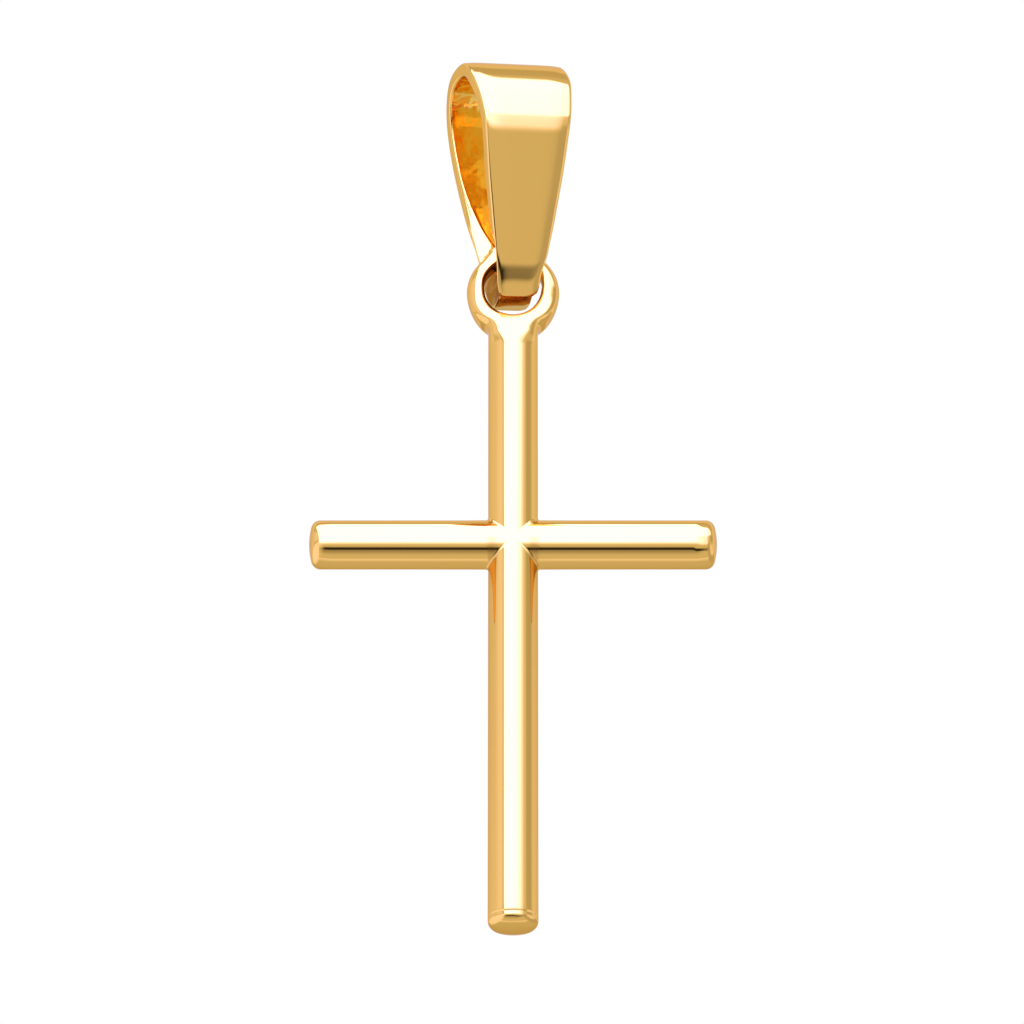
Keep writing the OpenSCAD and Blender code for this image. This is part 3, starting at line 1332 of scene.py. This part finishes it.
class Angle(Enum):
    """The angles of a direction in the tent, in degrees, and five that bend with another one."""

    HEIGHT = "upward from the front, over the top"
    BESIDE = "to the right of the middle plane"
    LEVEL = "above the level"
    AZIMUTH = "round to the right of the front"
    ASIDE = "round to either side of the front"
    SEAM = "height, bent down to the right along the seam"
    PANEL_TOP = "height, bent down to the right along the panel's top"
    PANEL_FOOT = "height, bent down to the right along the panel's foot"
    CORE_SIDE = "beside, bent outward above along the panel's bright core"
    GLOW_SIDE = "beside, bent outward above along the panel's soft edge"


@dataclass(frozen=True)
class Edge:
    """A soft edge in the tent: 0 from one angle outward and 1 from the other one inward."""

    angle: Angle
    none: float
    full: float


@dataclass(frozen=True)
class Bend:
    """An angle that follows a plain one and is shifted by some degrees across an edge."""

    angle: Angle
    plain: Angle
    shift: float
    edge: Edge


@dataclass(frozen=True)
class Zone:
    """A part of the tent with its own brightness, inside all of its edges."""

    tone: float
    edges: tuple[Edge, ...]


def between(angle: Angle, a: float, b: float, c: float, d: float) -> tuple[Edge, Edge]:
    """The two edges of a band that comes in from a to b and goes out from c to d."""
    return Edge(angle, a, b), Edge(angle, d, c)


BENDS = (
    Bend(Angle.SEAM, Angle.HEIGHT, 7.0, Edge(Angle.BESIDE, -2.0, 16.0)),
    Bend(Angle.PANEL_TOP, Angle.HEIGHT, 20.0, Edge(Angle.BESIDE, 5.0, 24.0)),
    Bend(Angle.PANEL_FOOT, Angle.HEIGHT, 3.5, Edge(Angle.BESIDE, 14.0, 28.0)),
    Bend(Angle.CORE_SIDE, Angle.BESIDE, -20.0, Edge(Angle.LEVEL, 16.0, 30.0)),
    Bend(Angle.GLOW_SIDE, Angle.BESIDE, -20.0, Edge(Angle.LEVEL, 20.0, 30.0)),
)

# The tent's cloth, from below and behind round to the front and over the top, and a dark
# opening far to the left below
CLOTH = (
    Zone(0.70, (Edge(Angle.HEIGHT, -90.0, -86.0),)),
    Zone(0.92, between(Angle.HEIGHT, -112.0, -92.0, -90.0, -86.0)),
    Zone(0.36, between(Angle.HEIGHT, -72.0, -46.0, -41.0, -35.0) + (Edge(Angle.BESIDE, 34.0, 12.0),)),
    Zone(0.60, between(Angle.HEIGHT, 88.0, 94.0, 106.0, 114.0)),
    Zone(0.92, (Edge(Angle.HEIGHT, 106.0, 116.0),)),
    Zone(
        0.08,
        between(Angle.HEIGHT, -80.0, -70.0, -56.0, -48.0)
        + between(Angle.BESIDE, -88.0, -80.0, -44.0, -36.0),
    ),
)

# The tent's sides, level with the camera, and where they are seen
SIDES = (
    Zone(0.97, between(Angle.AZIMUTH, -95.0, -60.0, -52.0, -46.0)),
    Zone(0.66, between(Angle.AZIMUTH, -50.0, -46.0, 52.0, 58.0)),
    Zone(0.53, between(Angle.AZIMUTH, 54.0, 68.0, 84.0, 104.0)),
)
SIDE_EDGES = between(Angle.LEVEL, 0.0, 10.0, 32.0, 42.0) + (Edge(Angle.ASIDE, 38.0, 46.0),)

# The sides below the camera's level, the dark seam under the panel, the panel's glow and its core
BELOW = (Edge(Angle.LEVEL, 0.0, -8.0),)
PANEL = (Edge(Angle.BESIDE, -42.0, -33.0), Edge(Angle.PANEL_TOP, 97.0, 90.0))
FRONT = (
    Zone(0.54, BELOW + between(Angle.BESIDE, 36.0, 48.0, 56.0, 64.0)),
    Zone(0.95, BELOW + (Edge(Angle.BESIDE, 58.0, 68.0),)),
    Zone(1.10, BELOW + (Edge(Angle.BESIDE, -28.0, -42.0),)),
    Zone(
        0.03,
        between(Angle.SEAM, -46.0, -41.5, -35.0, -26.0) + between(Angle.BESIDE, -40.0, -24.0, 20.0, 60.0),
    ),
    Zone(1.70, PANEL + (Edge(Angle.PANEL_FOOT, -22.0, -5.0), Edge(Angle.GLOW_SIDE, 54.0, 28.0))),
    Zone(2.80, PANEL + (Edge(Angle.HEIGHT, -10.0, -2.0), Edge(Angle.CORE_SIDE, 34.0, 0.0))),
)


@dataclass(frozen=True)
class Tent:
    """The soft light: a brightness for every direction, worked out in the world's node tree."""

    graph: Graph
    cloth_tone: float = 0.64
    side_tone: float = 0.83

    # The panel is cooler than the cloth: its range of brightness, and the blue that goes with it
    cool_tones: Pair = (0.7, 1.66)
    cool_blue: Pair = (1.0, 2.2)

    def angles(self) -> dict[Angle, Socket]:
        """Works out every angle of the direction that a ray comes from.

        Returns:
            The sockets that give the angles.
        """
        graph = self.graph
        direction = graph.add("TexCoord", {}).outputs["Generated"]
        x, y, z = graph.add("SeparateXYZ", {"Vector": direction}).outputs
        front = graph.math("MULTIPLY", y, -1.0)
        radians = {
            Angle.HEIGHT: graph.math("ARCTAN2", z, front),
            Angle.BESIDE: graph.math("ARCSINE", x),
            Angle.LEVEL: graph.math("ARCSINE", z),
            Angle.AZIMUTH: graph.math("ARCTAN2", x, front),
        }
        angles = {angle: graph.math("MULTIPLY", value, 180 / math.pi) for angle, value in radians.items()}
        angles[Angle.ASIDE] = graph.math("ABSOLUTE", angles[Angle.AZIMUTH])
        for bend in BENDS:
            shift = graph.math("MULTIPLY", self.inside((bend.edge,), angles), bend.shift)
            angles[bend.angle] = graph.math("ADD", angles[bend.plain], shift)
        return angles

    def inside(self, edges: tuple[Edge, ...], angles: dict[Angle, Socket]) -> Socket:
        """The product of some edges, each a smooth step that may also fall."""
        steps = (
            self.graph.ramp(angles[edge.angle], (edge.none, edge.full), kind="SMOOTHSTEP") for edge in edges
        )
        return reduce(lambda share, step: self.graph.math("MULTIPLY", share, step), steps)

    def over(self, tone: Value, other: Value, share: Socket) -> Socket:
        """Goes from one brightness to another by a share: tone + share (other - tone)."""
        change = self.graph.math("MULTIPLY", share, self.graph.math("SUBTRACT", other, tone))
        return self.graph.math("ADD", tone, change)

    def zones(self, tone: Value, zones: tuple[Zone, ...], angles: dict[Angle, Socket]) -> Socket:
        """Lays zones over a brightness, one after another.

        Args:
            tone: The brightness below them.
            zones: The zones, the last one on top.
            angles: The direction's angles.

        Returns:
            The brightness with them.
        """
        for zone in zones:
            tone = self.over(tone, zone.tone, self.inside(zone.edges, angles))
        return tone

    def build(self) -> None:
        """Lights the scene with the tent and shows white behind the pendant."""
        graph = self.graph
        angles = self.angles()
        tone = self.zones(self.cloth_tone, CLOTH, angles)
        sides = self.zones(self.side_tone, SIDES, angles)
        tone = self.zones(self.over(tone, sides, self.inside(SIDE_EDGES, angles)), FRONT, angles)
        blue = graph.ramp(tone, self.cool_tones, self.cool_blue)
        tint = graph.add("CombineColor", {"Red": 1.0, "Green": 1.0, "Blue": blue}).outputs["Color"]
        light = graph.add("Background", {"Color": tint, "Strength": tone}).outputs["Background"]
        white = graph.add("Background", {"Color": (1.0, 1.0, 1.0, 1.0)}).outputs["Background"]
        seen = graph.add("LightPath", {}).outputs["Is Camera Ray"]
        shown = graph.add("MixShader", {"Fac": seen, 1: light, 2: white}).outputs["Shader"]
        graph.add("OutputWorld", {"Surface": shown})


@dataclass(frozen=True)
class Studio:
    """The tent's light, a pale floor and the camera."""

    camera_elevation: float = -21.0
    camera_distance_mm: float = 300.0
    sensor_mm: float = 36.0
    clip_m: Pair = (0.01, 50.0)

    # The photo's width in pixels, and its scale and the place of the crossing in it
    photo_px: float = 1024.0
    pixels_per_mm: float = 27.2
    crossing_px: Pair = (513.05, 545.0)

    floor_z_mm: float = -360.0
    floor_reach_mm: float = 6000.0
    floor_colour: Colour = (0.62, 0.62, 0.61, 1.0)
    floor_roughness: float = 0.9

    def world(self) -> None:
        """Makes the world and lights it."""
        world = bpy.data.worlds.new("studio_tent")
        bpy.context.scene.world = world
        world.use_nodes = True
        world.node_tree.nodes.clear()
        Tent(Graph(world.node_tree)).build()

    def floor(self) -> None:
        """Adds the plain pale floor below the hanging pendant."""
        mesh = bpy.data.meshes.new("floor")
        corners = np.array([[-1, -1, 0], [1, -1, 0], [1, 1, 0], [-1, 1, 0]]) * self.floor_reach_mm
        corners[:, 2] = self.floor_z_mm
        mesh.from_pydata((corners * MM).tolist(), [], [(0, 1, 2, 3)])
        floor = bpy.data.objects.new("floor", mesh)
        bpy.context.scene.collection.objects.link(floor)
        pale = bpy.data.materials.new("pale_floor")
        pale.use_nodes = True
        shader = pale.node_tree.nodes["Principled BSDF"]
        shader.inputs["Base Color"].default_value = self.floor_colour
        shader.inputs["Roughness"].default_value = self.floor_roughness
        mesh.materials.append(pale)
        floor.visible_glossy = False

    def camera(self, crossing: Array) -> None:
        """Places the camera below the pendant, as in the photo.

        Args:
            crossing: Middle of the crossing in the row's frame, in millimetres.
        """
        tilt = math.radians(self.camera_elevation)
        look = np.array([0.0, math.cos(tilt), -math.sin(tilt)])
        up = np.array([0.0, math.sin(tilt), math.cos(tilt)])
        right, down = ((pixel - self.photo_px / 2) / self.pixels_per_mm for pixel in self.crossing_px)
        target = crossing + up * down - np.array([right, 0.0, 0.0])
        data = bpy.data.cameras.new("camera")
        data.sensor_width = self.sensor_mm
        data.lens = self.pixels_per_mm * self.camera_distance_mm * self.sensor_mm / self.photo_px
        data.clip_start, data.clip_end = self.clip_m
        camera = bpy.data.objects.new("camera", data)
        camera.location = (target - look * self.camera_distance_mm) * MM
        camera.rotation_euler = (math.pi / 2 - tilt, 0.0, 0.0)
        bpy.context.scene.collection.objects.link(camera)
        bpy.context.scene.camera = camera


def main() -> None:
    """Builds the pieces, dresses them, and sets the stage."""
    logging.basicConfig(level=logging.INFO, format="%(name)s: %(message)s")
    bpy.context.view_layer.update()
    scene = bpy.context.scene
    scene.view_settings.view_transform = "Standard"
    scene.view_settings.look = "None"

    cross = Cross()
    bail = Bail(eye_depth=cross.rim_depth, eye_hole_d=cross.hole_d)
    link = bail.link()
    effects = Effects()
    bail_gold = PolishedGold("bail_polished_gold", stretch=(9000.0, 9000.0, 700.0))
    cross_gold = PolishedGold("cross_polished_gold", stretch=(1200.0, 6000.0, 6000.0))

    band = bail.build()
    band.data.materials.append(bail_gold.material(effects, CastSkin()))
    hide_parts("bail")
    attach(band, "bail")

    body = cross.build(link)
    body.data.materials.append(cross_gold.material(effects))
    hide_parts("cross")
    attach(body, "cross")
    for piece in (band, body):
        log.info("%s: %d points, %d faces", piece.name, len(piece.data.vertices), len(piece.data.polygons))

    studio = Studio()
    studio.world()
    studio.floor()
    studio.camera(cross.place(link)(np.array([0.0, 0.0, -cross.arm_drop])))


if __name__ == "__main__":
    main()
